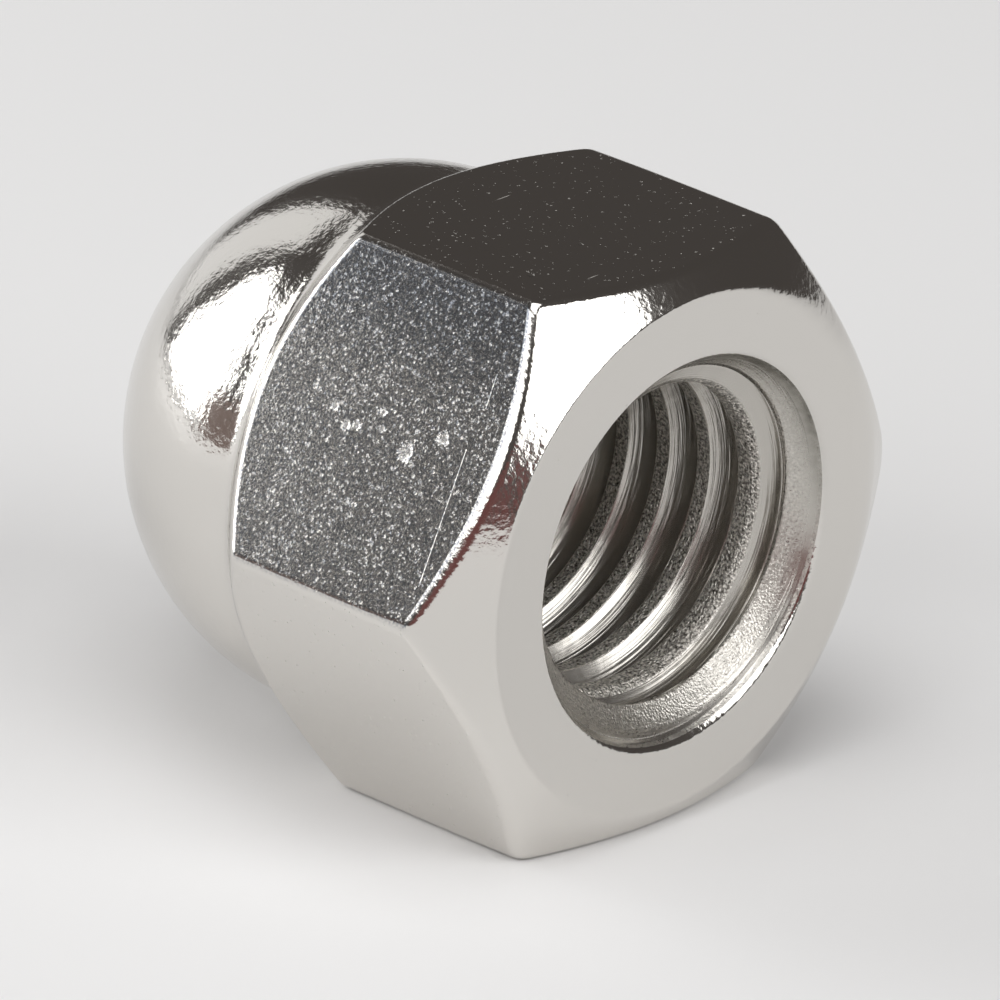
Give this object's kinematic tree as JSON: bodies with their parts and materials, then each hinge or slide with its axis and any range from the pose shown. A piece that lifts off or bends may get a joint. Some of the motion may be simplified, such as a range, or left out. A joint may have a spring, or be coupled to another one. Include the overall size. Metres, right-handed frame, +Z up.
{
  "type": "cap nut",
  "caption": "Domed hexagon cap nut of bright stainless steel, with a countersunk blind thread, lying on one flat.",
  "frame": {"origin": "centre of the bearing face, on the thread axis", "axes": "-Y out of the threaded mouth and +Y towards the top of the dome, +Z up: the nut lies on the flat that faces -Z, with two of its corners on the X axis"},
  "size_m": [0.0218, 0.021, 0.019],
  "materials": {
    "bright_stainless": "bright tumbled stainless steel: mirror-like dome and chamfers, finely pitted flats, satin bearing face"
  },
  "bodies": {
    "root": {"cap_nut": "bright_stainless"}
  },
  "joints": []
}
